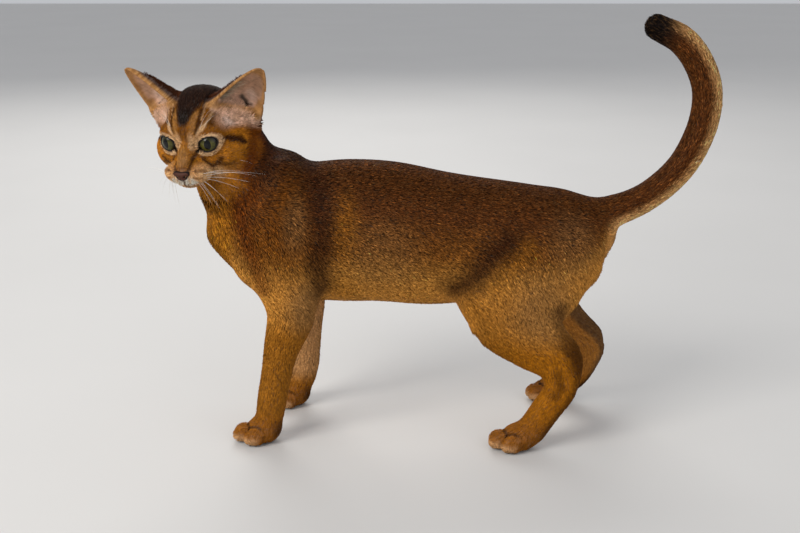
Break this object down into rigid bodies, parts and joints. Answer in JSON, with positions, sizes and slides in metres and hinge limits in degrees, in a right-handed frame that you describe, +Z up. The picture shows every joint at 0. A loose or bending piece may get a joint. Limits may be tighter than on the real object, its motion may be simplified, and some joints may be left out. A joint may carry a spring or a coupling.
{
  "type": "cat",
  "caption": "Still life-size model of a young ticked shorthair cat, standing with its head turned to its left and its tail raised in a hook.",
  "frame": {"origin": "floor level, under the middle of the cat's bounding box", "axes": "+Z up; the cat's body faces -X, so its left side faces -Y and its tail is towards +X"},
  "size_m": [0.428, 0.1196, 0.3092],
  "materials": {
    "crown": "short ticked coat of the head, dark on the brow and crown",
    "shoulder": "short ticked coat, warm reddish brown",
    "flank": "short ticked coat, darkest along the spine and paler below",
    "leg": "short smooth coat, golden orange",
    "tip": "short coat, near black",
    "ear": "thin short-haired ear, pinkish grey inside with a golden rim",
    "eye": "clear wet cornea over a green-hazel iris",
    "leather": "fine-grained moist nose leather, dark brick brown"
  },
  "bodies": {
    "root": {"head": "crown", "neck": "shoulder", "chest": "shoulder", "belly": "flank", "hips": "flank", "foreleg_left": "leg", "foreleg_right": "leg", "forepaw_left": "leg", "forepaw_right": "leg", "thigh_left": "flank", "thigh_right": "flank", "shank_left": "leg", "shank_right": "leg", "hindpaw_left": "leg", "hindpaw_right": "leg", "tail_root": "flank", "tail_low": "flank", "tail_high": "flank", "tail_tip": "tip", "ear_left": "ear", "ear_right": "ear", "eye_left": "eye", "eye_right": "eye", "nose": "leather"}
  },
  "joints": []
}
